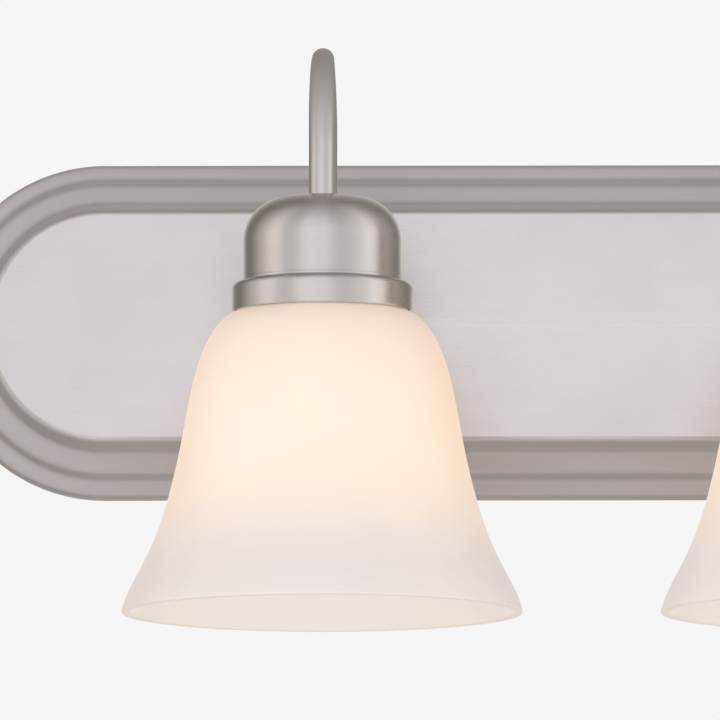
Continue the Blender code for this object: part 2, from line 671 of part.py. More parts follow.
def pan_route(lead_x, sign, slot):
    """From the arm's rear end along the pan and into the connector's mouth.

    The lead from the far side runs above the centre's, so that it turns into the mouth first.
    """
    rank = slot * sign
    mouth_x = sign * CONNECTOR_X
    towards = 1 if mouth_x > lead_x else -1
    entry_angle = radians(300 + 120 * rank)
    entry_x = mouth_x + sign * LEAD_SPREAD * cos(entry_angle)
    entry_y = LEAD_PLANE_Y + LEAD_SPREAD * sin(entry_angle)
    lane_z = sign * (LEAD_LANE_Z + (LEAD_LANE_STEP if rank < 0 else 0.0))
    return [
        (lead_x, ARM_REAR_Y, 0.0),
        (lead_x + 0.004 * towards, entry_y, 0.3 * lane_z),
        (lead_x + 0.016 * towards, entry_y, lane_z),
        (entry_x - 0.012 * towards, entry_y, lane_z),
        (entry_x, entry_y, sign * (CONNECTOR_MOUTH_Z - 0.001)),
        (entry_x, entry_y, sign * (CONNECTOR_MOUTH_Z + 0.008)),
    ]


def build_connector(name, sign):
    """A twist-on cap whose mouth faces the leads."""
    location = (sign * CONNECTOR_X, LEAD_PLANE_Y, sign * CONNECTOR_MOUTH_Z)
    section = [(0.0, CONNECTOR_LENGTH), (CONNECTOR_TIP_RADIUS, CONNECTOR_LENGTH)]
    section += [(CONNECTOR_SHOULDER_RADIUS, CONNECTOR_SHOULDER_Z), (CONNECTOR_MOUTH_RADIUS, 0.0)]
    section += [(CONNECTOR_BORE_RADIUS, 0.0), (CONNECTOR_TIP_RADIUS, CONNECTOR_BORE_DEPTH)]
    section.append((0.0, CONNECTOR_BORE_DEPTH))
    obj = turned(name, section, ORANGE_PLASTIC, location, SMALL_TURN_STEPS)
    if sign < 0:
        obj.rotation_euler = (pi, 0.0, 0.0)
    return obj


def main():
    build_backplate()
    build_crossbar()
    for side in ("left", "right"):
        build_stud(side)
        build_cap_nut(side)
    build_ground()
    build_connector("hot_connector", 1)
    build_connector("neutral_connector", -1)
    for side in SIDES:
        build_arm(side)
        build_arm_fixings(side)
        build_cup(side)
        build_collar(side)
        build_lampholder(side)
        build_socket_metal(side)
        build_shade(side)
        build_shade_ring(side)
        build_bulb(side)
        build_leads(side)


main()
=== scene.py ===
from itertools import accumulate
from math import atan2, cos, pi, radians, sin, tau

import bmesh
import bpy
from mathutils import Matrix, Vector
from mathutils.geometry import interpolate_bezier


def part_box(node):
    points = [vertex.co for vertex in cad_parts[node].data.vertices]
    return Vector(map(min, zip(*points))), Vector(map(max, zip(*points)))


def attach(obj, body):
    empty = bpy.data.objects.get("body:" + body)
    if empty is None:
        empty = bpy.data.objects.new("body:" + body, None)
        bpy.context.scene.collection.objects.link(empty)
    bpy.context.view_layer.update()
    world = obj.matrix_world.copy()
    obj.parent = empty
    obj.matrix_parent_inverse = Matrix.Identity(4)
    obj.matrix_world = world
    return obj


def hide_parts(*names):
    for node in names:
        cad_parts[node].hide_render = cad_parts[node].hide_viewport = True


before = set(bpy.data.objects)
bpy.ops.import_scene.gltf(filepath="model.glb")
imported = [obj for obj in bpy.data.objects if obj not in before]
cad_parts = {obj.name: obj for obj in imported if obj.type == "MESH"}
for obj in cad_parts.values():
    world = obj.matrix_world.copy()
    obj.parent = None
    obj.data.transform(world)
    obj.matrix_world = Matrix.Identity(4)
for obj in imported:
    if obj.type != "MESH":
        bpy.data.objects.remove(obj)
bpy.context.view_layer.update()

MM = 0.001
GAP = 0.3 * MM
SIDES = {"left": -1, "centre": 0, "right": 1}
ENDS = ("left", "right")
HEXAGON = 6

# How finely the pieces are made: points held near corners, the angles that count as sharp, sides round.
HOLD = 0.25 * MM
SHARP = 38
GLASS_SHARP = 60
TURN = 120
BELL_TURN = 160
CONNECTOR_TURN = 96
KNOB_TURN = 72
SMALL_TURN = 48
STUD_TURN = 24
ARM_SIDES = 40
LEAD_SIDES = 12
END_STEPS = 96
ON_AXIS = 1e-7
ON_THREAD = 0.02 * MM
THREAD_FADE = 0.6

# Real sizes that the frame's boxes don't give.
SHEET = 0.8 * MM
CUP_SHEET = 1.0 * MM
CUP_SHOULDER = 15.5 * MM
COLLAR_CORNER = 2.4 * MM
TUBE_RADIUS = 4.75 * MM
TUBE_WALL = 1.0 * MM
TUBE_END_SCALE = 0.88
BEAD_REACH = 1.2 * MM
BEND_RADIUS = 24 * MM
CROWN_SCALE = 0.83
GLASS = 3.2 * MM
LAMP_GLASS = 0.9 * MM
BRASS_SHEET = 0.45 * MM
BARREL_RADIUS = 19.5 * MM
BARREL_ROOT = 18.9 * MM
RING_BORE = 20.3 * MM
CAP_PITCH = 3.629 * MM
RING_PITCH = 2.5 * MM
STUD_PITCH = 0.794 * MM
STUD_THREAD = 0.32 * MM
STUD_HOLE = 2.6 * MM
LEAD_RADIUS = 1.0 * MM
LEAD_OFFSET = 1.25 * MM
LEAD_SPREAD = 2.0 * MM
NEUTRAL_LEAD_X = -7.5 * MM
DRILL_LENGTH = 0.1
# The lower and upper side of the lampholder's floor, in millimetres from the lampholder's top.
HOLDER_FLOOR = (-16.6, -14.1)

# The view is from below the bar and a long way off.
CAMERA_DISTANCE = 5.0
CAMERA_DROP = 0.590
CAMERA_ASIDE = 0.060
CAMERA_PITCH = 6.48
CAMERA_YAW = 0.5356
CAMERA_LENS = 716.5
CAMERA_REACH = 1000.0
SENSOR = 36.0

FLOOR_Z = -0.75
FLOOR_SIZE = 400.0
FLOOR_GLOW = 0.3
SURROUND = (0.920, 0.920, 0.920)
LIGHT_LEVEL = 1.06
KEY_PLACE = (-2.0, -3.2, 1.6)
KEY_SIZE = 2.0
KEY_POWER = 18.0


def middle(node):
    low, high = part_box(node)
    return (low + high) / 2


def measured(node):
    """The box of a round piece, and its radius."""
    low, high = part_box(node)
    return low, high, (high.x - low.x) / 2


AXIS = {side: Vector((middle(f"shade_{side}").x, middle(f"shade_{side}").y, 0.0)) for side in SIDES}


# Sections and meshes


def at(level, *points):
    """A section's points, from (radius, height above the level) in millimetres."""
    return [(radius * MM, level + height * MM) for radius, height in points]


def rounded(points, radius, steps=4, closed=False):
    """Replaces each corner of an outline by a curve that starts about one radius from it."""
    count = len(points)
    result = []
    for index, corner in enumerate(points):
        if not closed and index in (0, count - 1):
            result.append(corner)
            continue
        here = Vector(corner)
        before = Vector(points[index - 1]) - here
        after = Vector(points[(index + 1) % count]) - here
        start = here + before.normalized() * min(radius, before.length * 0.48)
        end = here + after.normalized() * min(radius, after.length * 0.48)
        for step in range(steps + 1):
            t = step / steps
            result.append(tuple(start * (1 - t) ** 2 + here * 2 * t * (1 - t) + end * t * t))
    return result


def held(section, closed):
    """Adds points near the ends of long straight stretches, so that shading bends only at the corners."""
    result = []
    count = len(section)
    for index in range(count if closed else count - 1):
        here, there = Vector(section[index]), Vector(section[(index + 1) % count])
        result.append(tuple(here))
        length = (there - here).length
        if length > 4 * HOLD:
            result.append(tuple(here.lerp(there, HOLD / length)))
            result.append(tuple(there.lerp(here, HOLD / length)))
    if not closed:
        result.append(section[-1])
    return result


def arc(centre, radius, start, end, steps):
    angles = (radians(start + (end - start) * step / steps) for step in range(steps + 1))
    return [(centre[0] + radius * cos(angle), centre[1] + radius * sin(angle)) for angle in angles]


def offset(outline, distance):
    """The outline moved sideways, to its right as it runs."""
    moved = []
    for index, point in enumerate(outline):
        before = Vector(outline[max(index - 1, 0)])
        after = Vector(outline[min(index + 1, len(outline) - 1)])
        along = (after - before).normalized()
        moved.append((point[0] + along.y * distance, point[1] - along.x * distance))
    return moved


def smoothed(mesh, sharp=SHARP):
    mesh.shade_smooth()
    mesh.set_sharp_from_angle(angle=radians(sharp))


def linked(name, data):
    obj = bpy.data.objects.new(name, data)
    bpy.context.scene.collection.objects.link(obj)
    return obj


def finished(name, builder, sharp=SHARP):
    mesh = bpy.data.meshes.new(name)
    builder.to_mesh(mesh)
    builder.free()
    smoothed(mesh, sharp)
    return linked(name, mesh)


def bridge(builder, rings, closed):
    """Faces between rings of equal length; a ring that repeats one vertex is a pole."""
    pairs = list(zip(rings, rings[1:]))
    if closed:
        pairs.append((rings[-1], rings[0]))
    for upper, lower in pairs:
        for index in range(len(upper)):
            following = (index + 1) % len(upper)
            corners = dict.fromkeys((upper[index], lower[index], lower[following], upper[following]))
            if len(corners) > 2:
                builder.faces.new(corners)


def lathed(name, section, shaped, steps, closed, sharp):
    """Rings about Z, one for each (radius, height); shaped gives them as they are at each step round."""
    builder = bmesh.new()
    rings = []
    for radius, height in section:
        if radius < ON_AXIS:
            rings.append([builder.verts.new((0.0, 0.0, height))] * steps)
            continue
        ring = []
        for step in range(steps):
            angle = tau * step / steps
            reach, level = shaped(radius, height, step)
            ring.append(builder.verts.new((reach * cos(angle), reach * sin(angle), level)))
        rings.append(ring)
    bridge(builder, rings, closed)
    return finished(name, builder, sharp)


def turned(name, section, place, steps=TURN, closed=False, thread=None, wall=0.0, facets=None, sharp=SHARP):
    """A section of (radius, height) turned about Z, running down its outer side.

    thread is (pitch, depth, low, high, radius it starts from): a helix is raised on the rows there, and on a
    thin shell's rows that are a wall further in. facets is (count, depth): shallow flutes wherever the radius
    is near its largest.
    """
    widest = max(radius for radius, height in section)

    def shaped(radius, height, step):
        reach = radius
        if thread:
            pitch, depth, low, high, start = thread
            off_thread = min(abs(radius - start), abs(radius - start + wall))
            if low <= height <= high and off_thread < ON_THREAD:
                from_end = min(height - low, high - height)
                fade = min(1.0, from_end / (THREAD_FADE * pitch))
                reach += depth * fade * 0.5 * (1 + cos(tau * (height / pitch - step / steps)))
        if facets and radius > widest - 0.9 * MM:
            count, depth = facets
            reach -= depth * 0.5 * (1 + cos(count * (tau * step / steps)))
        return reach, height

    obj = lathed(name, section if wall else held(section, closed), shaped, steps, closed, sharp)
    obj.location = place
    return obj


def rows(radius, high, low, pitch):
    """Rows down a threaded stretch, eight to a turn."""
    count = max(2, round((high - low) / pitch * 8))
    return [(radius, high + (low - high) * step / count) for step in range(count + 1)]


def swept(name, path, radii, sides, inner=None):
    """A tube along a path with a radius for each point; inner makes it hollow with that wall."""
    path = [Vector(point) for point in path]
    steps = ((there - here).length for here, there in zip(path, path[1:]))
    lengths = list(accumulate(steps, initial=0.0))
    builder = bmesh.new()
    frames = []
    side = (path[1] - path[0]).normalized().orthogonal().normalized()
    for index, point in enumerate(path):
        along = (path[min(index + 1, len(path) - 1)] - path[max(index - 1, 0)]).normalized()
        side = (side - along * side.dot(along)).normalized()
        frames.append((point, side.copy(), along.cross(side)))

    def ring(index, radius):
        point, across, up = frames[index]
        spokes = (tau * step / sides for step in range(sides))
        return [builder.verts.new(point + radius * (across * cos(a) + up * sin(a))) for a in spokes]

    rings = [ring(index, radius) for index, radius in enumerate(radii)]
    if inner:
        rings += [ring(index, radii[index] - inner) for index in reversed(range(len(path)))]
        lengths += lengths[::-1]
    bridge(builder, rings[::-1], closed=bool(inner))
    if not inner:
        builder.faces.new(rings[0][::-1])
        builder.faces.new(rings[-1])
    along_layer = builder.loops.layers.uv.new("along")
    unrolled = {}
    for length, made in zip(lengths, rings):
        for step, vert in enumerate(made):
            unrolled[vert] = (length, step / sides)
    for face in builder.faces:
        for loop in face.loops:
            loop[along_layer].uv = unrolled[loop.vert]
    bmesh.ops.recalc_face_normals(builder, faces=builder.faces)
    return finished(name, builder)


def drilled(obj, holes, depth, tilt=0.0):
    """Cuts round holes through a piece, upright unless tilted about X; holes are (centre, radius)."""
    cutters = []
    for centre, radius in holes:
        builder = bmesh.new()
        bmesh.ops.create_cone(
            builder, cap_ends=True, segments=SMALL_TURN, radius1=radius, radius2=radius, depth=depth
        )
        cutter = finished(f"{obj.name}_drill", builder)
        cutter.rotation_euler = (tilt, 0.0, 0.0)
        cutter.location = centre
        cutters.append(cutter)
        cut = obj.modifiers.new("drill", "BOOLEAN")
        cut.operation = "DIFFERENCE"
        cut.solver = "EXACT"
        cut.object = cutter
    apply_modifiers(obj)
    for cutter in cutters:
        bpy.data.objects.remove(cutter, do_unlink=True)


def apply_modifiers(obj):
    bpy.context.view_layer.update()
    evaluated = obj.evaluated_get(bpy.context.evaluated_depsgraph_get())
    mesh = bpy.data.meshes.new_from_object(evaluated)
    obj.modifiers.clear()
    obj.data = mesh
    smoothed(mesh)


def out_of_wall(obj):
    """Turns a piece made about Z so that its top points into the room."""
    obj.rotation_euler = (pi / 2, 0.0, 0.0)
    return obj


def place_piece(obj, node, slot, body="fixture", finish=None):
    """Puts a piece in its CAD node's place and on its body; its finish is its slot's unless named."""
    obj.data.materials.clear()
    obj.data.materials.append(FINISH[finish or slot])
    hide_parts(node)
    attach(obj, body)


# Materials


class Tree:
    """A node tree, with short ways to add and join its nodes."""

    def __init__(self, tree):
        self.nodes, self.links = tree.nodes, tree.links

    def add(self, kind, **inputs):
        node = self.nodes.new(f"ShaderNode{kind}")
        for name, value in inputs.items():
            self.join(value, node.inputs[name.replace("_", " ")])
        return node

    def join(self, value, socket):
        if isinstance(value, bpy.types.NodeSocket):
            self.links.new(value, socket)
        else:
            socket.default_value = value

    def join_all(self, values, sockets):
        for value, socket in zip(values, sockets):
            self.join(value, socket)

    def math(self, operation, first, second=0.0):
        node = self.add("Math")
        node.operation = operation
        self.join_all((first, second), node.inputs)
        return node.outputs[0]

    def plus(self, first, second):
        return self.math("ADD", first, second)

    def less(self, first, second):
        return self.math("SUBTRACT", first, second)

    def times(self, first, second):
        return self.math("MULTIPLY", first, second)

    def parts(self, vector):
        return list(self.add("SeparateXYZ", Vector=vector).outputs)

    def spread(self, value, low, high, from_low=0.3, from_high=0.7):
        """Maps a value's usual range onto low to high."""
        node = self.add("MapRange")
        self.join_all((value, from_low, from_high, low, high), node.inputs)
        return node.outputs[0]

    def ramp(self, value, stops, mode="EASE"):
        node = self.add("ValToRGB", Fac=value)
        elements = node.color_ramp.elements
        node.color_ramp.interpolation = mode
        while len(elements) < len(stops):
            elements.new(0.5)
        for element, (place, color) in zip(elements, stops):
            element.position = place
            element.color = (*color, 1.0)
        return node.outputs["Color"]

    def mixed(self, factor, first, second, blend="MIX"):
        node = self.add("Mix")
        node.data_type = "RGBA"
        node.blend_type = blend
        for socket, value in ((0, factor), (6, first), (7, second)):
            if isinstance(value, tuple) and len(value) == 3:
                value = (*value, 1.0)
            self.join(value, node.inputs[socket])
        return node.outputs[2]


class Shader(Tree):
    """A material's node tree round its Principled BSDF; settings are sockets that stay even."""

    def __init__(self, name, **settings):
        self.material = bpy.data.materials.new(name)
        self.material.use_nodes = True
        super().__init__(self.material.node_tree)
        self.surface = self.nodes["Principled BSDF"].inputs
        for socket, value in settings.items():
            self.surface[socket.replace("_", " ")].default_value = value

    def position(self):
        return self.add("TexCoord").outputs["Object"]

    def level(self, node):
        """How high a point is between the foot (0) and the top (1) of a CAD node."""
        low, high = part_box(node)
        return self.spread(self.parts(self.position())[2], 0.0, 1.0, low.z, high.z)

    def stretched(self, parts, scales):
        scaled = (self.times(part, scale) for part, scale in zip(parts, scales))
        return self.add("CombineXYZ", **dict(zip("XYZ", scaled))).outputs[0]

    def noise(self, vector, scale, detail=3.0, rough=0.5):
        node = self.add("TexNoise", Vector=vector, Scale=scale, Detail=detail, Roughness=rough)
        return node.outputs["Fac"]

    def edges(self, low=0.51, high=0.60):
        """1 on raised edges and 0 elsewhere."""
        pointed = self.add("NewGeometry").outputs["Pointiness"]
        return self.spread(pointed, 0.0, 1.0, low, high)

    def finish(self, color, roughness, bump, emission=None):
        """Joins the surface's looks; bump is (height, strength, distance), and emission its own light."""
        height, strength, distance = bump
        normal = self.add("Bump", Height=height, Strength=strength, Distance=distance).outputs[0]
        sockets = (self.surface[socket] for socket in ("Base Color", "Roughness", "Normal"))
        self.join_all((color, roughness, normal), sockets)
        if emission is not None:
            self.join(emission, self.surface["Emission Color"])
        return self.material


def tinted(color, share):
    return tuple(part * share for part in color)


NICKEL = (0.630, 0.592, 0.572)
NICKEL_WORN = (0.74, 0.71, 0.69)
# The arms' nickel: a darker copy of NICKEL, painted shade.
SHADED_TUBE_NICKEL = (0.555, 0.521, 0.504)
PANEL_NICKEL = (0.629, 0.587, 0.580)
# Where a finish is rougher and darkened by painted shade: its axis, where that starts and ends, its
# painted-shade tone, more roughness and metallic.
# The backplate's rim: rougher as a satin pressing, and darker by painted shade.
RIM_DULL_AND_SHADE = (1, -25.1 * MM, -24.0 * MM, 0.75, 0.19, 0.55)
# The arms' bend: rougher, and darker by painted shade.
BEND_DULL_AND_SHADE = (2, 54.0 * MM, 72.0 * MM, 0.93, 0.32, 0.85)


def brushed(name, grain, color, roughness, streak=0.03, anisotropy=0.0, dulled_and_shaded=None):
    """Plated metal with a fine grain; grain builds the stretched coordinates from a shader.

    Anisotropy spreads the highlights across a grain that runs round the piece. The last argument names the
    part that pressing or bending has made rougher and that painted shade darkens, by the axis it is measured
    along and where it starts and ends.
    """
    shader = Shader(name, Metallic=1.0, Anisotropic=anisotropy, Anisotropic_Rotation=0.25)
    lines = grain(shader)
    fine = shader.noise(lines, 1.0, 4.0, 0.62)
    coarse = shader.noise(lines, 0.28, 2.0, 0.5)
    cloud = shader.noise(shader.position(), 26.0, 3.0, 0.55)
    tone = shader.mixed(shader.spread(fine, 0.0, 1.0), tinted(color, 1 - streak), tinted(color, 1 + streak))
    tone = shader.mixed(shader.spread(coarse, 0.0, 0.35), tone, tinted(color, 0.94))
    tone = shader.mixed(shader.spread(cloud, 0.0, 0.22), tone, tinted(color, 0.93))
    tone = shader.mixed(shader.times(shader.edges(), 0.35), tone, NICKEL_WORN)
    gloss = shader.spread(cloud, roughness - 0.03, roughness + 0.04)
    gloss = shader.plus(shader.spread(fine, -0.045, 0.045), gloss)
    gloss = shader.less(gloss, shader.times(shader.edges(), 0.06))
    if dulled_and_shaded is not None:
        axis, start, end, shade_tone, rougher, metallic = dulled_and_shaded
        along = shader.parts(shader.position())[axis]
        amount = shader.spread(along, 0.0, 1.0, start, end)
        # Painted shade: the tone darkens over that part.
        tone = shader.mixed(shader.times(amount, 0.6), tone, tinted(color, shade_tone))
        gloss = shader.plus(gloss, shader.times(amount, rougher))
        shader.join(shader.spread(along, 1.0, metallic, start, end), shader.surface["Metallic"])
    height = shader.plus(fine, shader.times(coarse, 0.6))
    return shader.finish(tone, gloss, (height, 0.07, 0.00003))


def grain_along_wall(shader):
    """Streaks along X, about 26 mm long and less than half a millimetre apart."""
    x, y, z = shader.parts(shader.position())
    return shader.stretched((x, y, shader.less(z, shader.times(y, 0.7))), (38.0, 40.0, 2300.0))


def grain_round_axis(shader):
    """Streaks round the piece's own axis, as a lathe leaves them."""
    x, y, z = shader.parts(shader.position())
    radius = shader.math("SQRT", shader.plus(shader.times(x, x), shader.times(y, y)))
    return shader.stretched((x, y, shader.less(z, radius)), (34.0, 34.0, 2600.0))


def grain_along_tube(shader):
    """Streaks along a tube, by how far along and how far round it a point is."""
    along, share = shader.parts(shader.add("TexCoord").outputs["UV"])[:2]
    turn = shader.times(share, tau)
    parts = (shader.math("COSINE", turn), shader.math("SINE", turn), along)
    return shader.stretched(parts, (9.0, 9.0, 60.0))


# The lamp's light in the glass, by level from the rim (0) to the neck (1).
SHADE_GLOW = (
    (0.03, (0.335, 0.288, 0.258)),
    (0.10, (0.322, 0.275, 0.258)),
    (0.17, (0.350, 0.293, 0.258)),
    (0.26, (0.435, 0.337, 0.258)),
    (0.38, (0.540, 0.378, 0.248)),
    (0.50, (0.560, 0.388, 0.244)),
    (0.62, (0.560, 0.388, 0.244)),
    (0.80, (0.505, 0.346, 0.218)),
    (0.86, (0.470, 0.320, 0.210)),
    (0.91, (0.370, 0.262, 0.176)),
    (0.935, (0.160, 0.120, 0.090)),
)
INNER_GLOW = (0.018, 0.036, 0.040)


def frosted_shade():
    """White glass, satin outside, lit by the lamp behind it: brightest level with the lamp."""
    shader = Shader("frosted_shade", Specular_IOR_Level=0.32, Emission_Strength=1.0)
    position = shader.position()
    cloud = shader.noise(position, 34.0, 3.0, 0.5)
    level = shader.plus(shader.level("shade_left"), shader.spread(cloud, -0.012, 0.012))
    glow = shader.ramp(level, SHADE_GLOW, "B_SPLINE")
    outward = shader.add("VectorMath")
    outward.operation = "DOT_PRODUCT"
    from_axis = shader.stretched(shader.parts(position), (1.0, 1.0, 0.0))
    shader.join_all((shader.add("NewGeometry").outputs["True Normal"], from_axis), outward.inputs)
    inside = shader.math("LESS_THAN", outward.outputs["Value"], 0.0)
    glow = shader.mixed(inside, glow, INNER_GLOW, "ADD")
    grit = shader.noise(position, 2400.0, 2.0, 0.6)
    tone = shader.mixed(shader.spread(cloud, 0.0, 1.0), (0.548, 0.530, 0.518), (0.578, 0.560, 0.548))
    tone = shader.mixed(shader.times(shader.edges(0.52, 0.62), 0.5), tone, (0.78, 0.77, 0.76))
    gloss = shader.plus(shader.spread(cloud, 0.36, 0.44), shader.spread(grit, -0.03, 0.03))
    return shader.finish(tone, gloss, (grit, 0.12, 0.00003), glow)


# The lamp's own light, by level from the top of its globe (1) to its foot (0).
LAMP_GLOW = (
    (0.0, (0.95, 0.70, 0.44)),
    (0.35, (1.0, 0.80, 0.54)),
    (0.75, (0.75, 0.52, 0.30)),
    (1.0, (0.3, 0.2, 0.12)),
)


def lamp_glass():
    """Coated white glass with the light inside it."""
    shader = Shader("lamp_glass", Specular_IOR_Level=0.5, Emission_Strength=1.6)
    cloud = shader.noise(shader.position(), 90.0, 3.0, 0.5)
    glow = shader.ramp(shader.level("bulb_globe_left"), LAMP_GLOW)
    glow = shader.mixed(shader.spread(cloud, 0.0, 0.14), glow, (0.9, 0.66, 0.42))
    tone = shader.mixed(shader.spread(cloud, 0.0, 1.0), (0.88, 0.87, 0.85), (0.93, 0.92, 0.90))
    return shader.finish(tone, shader.spread(cloud, 0.28, 0.36), (cloud, 0.08, 0.0002), glow)


def moulded(name, color, worn, roughness, grit_scale=2200.0, grit=0.15):
    """Moulded plastic: a fine pebble, faint flow marks and paler rubbed edges."""
    shader = Shader(name, Specular_IOR_Level=0.45)
    position = shader.position()
    pebble = shader.noise(position, grit_scale, 3.0, 0.55)
    flow = shader.noise(position, 55.0, 4.0, 0.6)
    tone = shader.mixed(shader.spread(flow, 0.0, 1.0), tinted(color, 0.82), color)
    tone = shader.mixed(shader.times(shader.edges(), 0.5), tone, worn)
    gloss = shader.spread(flow, roughness - 0.05, roughness + 0.06)
    gloss = shader.plus(shader.spread(pebble, -0.05, 0.05), gloss)
    return shader.finish(tone, gloss, (pebble, grit, 0.00005))


def plated(name, color, spangle, worn, roughness):
    """Plain plated or drawn metal: soft stains, fine scratches and brighter edges."""
    shader = Shader(name, Metallic=1.0)
    position = shader.position()
    stain = shader.noise(position, 70.0, 5.0, 0.6)
    scratch = shader.noise(shader.stretched(shader.parts(position), (160.0, 900.0, 1300.0)), 1.0, 2.0, 0.6)
    tone = shader.mixed(shader.spread(stain, 0.0, 1.0), color, spangle)
    tone = shader.mixed(shader.times(shader.edges(), 0.55), tone, worn)
    gloss = shader.spread(stain, roughness - 0.06, roughness + 0.10)
    gloss = shader.plus(shader.spread(scratch, -0.06, 0.06), gloss)
    height = shader.plus(scratch, shader.times(stain, 0.5))
    return shader.finish(tone, gloss, (height, 0.22, 0.00005))


# The finish of each slot; the backplate and the arms have their own cuts of the brushed nickel, with painted
# shade on the backplate's rim, on the arms' bend and in the arms' darker copy of the nickel.
FINISH = {
    "panel": brushed("nickel_backplate", grain_along_wall, PANEL_NICKEL, 0.31, 0.062, dulled_and_shaded=RIM_DULL_AND_SHADE),
    "brushed_nickel": brushed("nickel_turned", grain_round_axis, NICKEL, 0.29, anisotropy=0.8),
    "tube": brushed("nickel_tube", grain_along_tube, SHADED_TUBE_NICKEL, 0.32, dulled_and_shaded=BEND_DULL_AND_SHADE),
    "frosted_glass": frosted_shade(),
    "lamp_glass": lamp_glass(),
    "phenolic": moulded("phenolic", (0.030, 0.029, 0.030), (0.085, 0.0835, 0.085), 0.42, 1500.0, 0.25),
    "black_insulation": moulded("black_insulation", (0.018, 0.018, 0.020), (0.06, 0.06, 0.06), 0.38),
    "white_insulation": moulded("white_insulation", (0.78, 0.77, 0.74), (0.84, 0.83, 0.80), 0.40),
    "green_insulation": moulded("green_insulation", (0.050, 0.330, 0.105), (0.10, 0.42, 0.16), 0.40),
    "orange_plastic": moulded(
        "connector_plastic", (0.86, 0.235, 0.030), (0.95, 0.42, 0.12), 0.36, 900.0, 0.3
    ),
    "zinc_steel": plated("zinc_steel", (0.60, 0.61, 0.62), (0.70, 0.70, 0.69), (0.80, 0.80, 0.80), 0.34),
    "green_zinc": plated("green_zinc", (0.08, 0.30, 0.13), (0.13, 0.38, 0.18), (0.40, 0.55, 0.40), 0.36),
    "brass": plated("brass", (0.80, 0.60, 0.27), (0.70, 0.49, 0.20), (0.90, 0.74, 0.42), 0.27),
    "solder": plated("solder", (0.56, 0.56, 0.58), (0.66, 0.66, 0.67), (0.75, 0.75, 0.76), 0.42),
}


# The backplate


# How far in from the outline and how far forward each corner of the rim is, in millimetres.
RIM = (
    (0.0, 0.0),
    (0.2, 5.6),
    (0.9, 7.5),
    (2.7, 8.5),
    (6.2, 9.4),
    (8.5, 14.4),
    (15.6, 16.6),
    (18.4, 24.0),
    (20.2, 25.4),
)


def pill(length, height, steps):
    reach = (length - height) / 2
    right = arc((reach, 0.0), height / 2, -90, 90, steps)
    left = arc((-reach, 0.0), height / 2, 90, 270, steps)
    return right + left


def build_backplate():
    """The pressed pan: its outline is stepped in and forward along the rim's rounded section."""
    low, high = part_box("backplate")
    section = rounded([(inset * MM, depth * MM) for inset, depth in RIM], 2.0 * MM, 6)
    section.append((section[-1][0] + 0.5 * MM, section[-1][1]))
    builder = bmesh.new()
    outline = pill(high.x - low.x, high.z - low.z, END_STEPS)
    panel = builder.faces.new([builder.verts.new((x, high.y, z)) for x, z in outline])
    panel.normal_update()
    for (inset, depth), (next_inset, next_depth) in zip(section, section[1:]):
        bmesh.ops.inset_individual(
            builder,
            faces=[panel],
            thickness=max(next_inset - inset, 0.002 * MM),
            depth=next_depth - depth,
            use_even_offset=True,
        )
    plate = finished("backplate_pan", builder, 30)
    sheet = plate.modifiers.new("sheet", "SOLIDIFY")
    sheet.thickness = SHEET
    sheet.offset = -1.0
    apply_modifiers(plate)
    holes = [((AXIS[side].x, 0.0, 0.0), TUBE_RADIUS + 0.4 * MM) for side in SIDES]
    holes += [((middle(f"stud_{side}").x, 0.0, 0.0), STUD_HOLE) for side in ENDS]
    drilled(plate, holes, DRILL_LENGTH, pi / 2)
    place_piece(plate, "backplate", "brushed_nickel", finish="panel")
    plate.visible_glossy = False


# The arms and cups


def arch_centre_z(side):
    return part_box(f"arm_{side}")[1].z - CROWN_SCALE * TUBE_RADIUS - BEND_RADIUS


def arm_end_z(side):
    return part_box(f"cup_nut_{side}")[0].z - 5.7 * MM


def arm_path(side, x, rear_y, lower_z, steps=20):
    """The gooseneck's centre line from the pan, up, over and down into the cup."""
    arch_z = arch_centre_z(side)
    rear_leg_y = AXIS[side].y + 2 * BEND_RADIUS
    angles = [radians(90 * step / steps) for step in range(2 * steps + 1)]
    route = [(rear_y, 0.0)]
    for angle in angles[: steps + 1]:
        route.append((rear_leg_y + BEND_RADIUS * (1 - sin(angle)), BEND_RADIUS * (1 - cos(angle))))
    for angle in angles:
        route.append((rear_leg_y - BEND_RADIUS * (1 - cos(angle)), arch_z + BEND_RADIUS * sin(angle)))
    return [Vector((x, y, z)) for y, z in route + [(AXIS[side].y, lower_z)]]


def build_arm(side, bead_steps=12):
    """The tube with its rolled bead at the backplate and its reduced end in the cup."""
    low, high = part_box(f"arm_{side}")
    x = AXIS[side].x
    face_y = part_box("backplate")[0].y - GAP
    cup_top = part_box(f"socket_cup_{side}")[1].z
    bead_radius = x - low.x
    bead_middle = face_y - 1.25 * MM
    rear = [(high.y, 0.0)]
    for step in range(bead_steps + 1):
        angle = pi * step / bead_steps
        swell = sin(angle) ** 0.6 if 0 < step < bead_steps else 0.0
        rear.append((bead_middle + BEAD_REACH * cos(angle), swell))
    path = [Vector((x, y, 0.0)) for y, swell in rear]
    radii = [TUBE_RADIUS + (bead_radius - TUBE_RADIUS) * swell for y, swell in rear]
    for point in arm_path(side, x, face_y - 6 * MM, cup_top + GAP):
        rise = max(0.0, point.z - arch_centre_z(side)) / BEND_RADIUS
        path.append(point)
        radii.append(TUBE_RADIUS * (1 - (1 - CROWN_SCALE) * rise**2))
    for z in (cup_top + 0.1 * MM, arm_end_z(side)):
        path.append(Vector((x, AXIS[side].y, z)))
        radii.append(TUBE_RADIUS * TUBE_END_SCALE)
    arm = swept(f"gooseneck_{side}", path, radii, ARM_SIDES, inner=TUBE_WALL)
    place_piece(arm, f"arm_{side}", "brushed_nickel", finish="tube")


def build_turned(name, node, side, section, slot, body="fixture", **shape):
    """A turned piece on a light's own axis."""
    place_piece(turned(f"{name}_{side}", section, AXIS[side], **shape), f"{node}_{side}", slot, body)


def build_shell(name, node, side, outer):
    """A turned shell of sheet metal, from its outer side."""
    section = outer + offset(outer, CUP_SHEET)[::-1]
    build_turned(name, node, side, section, "brushed_nickel", closed=True)


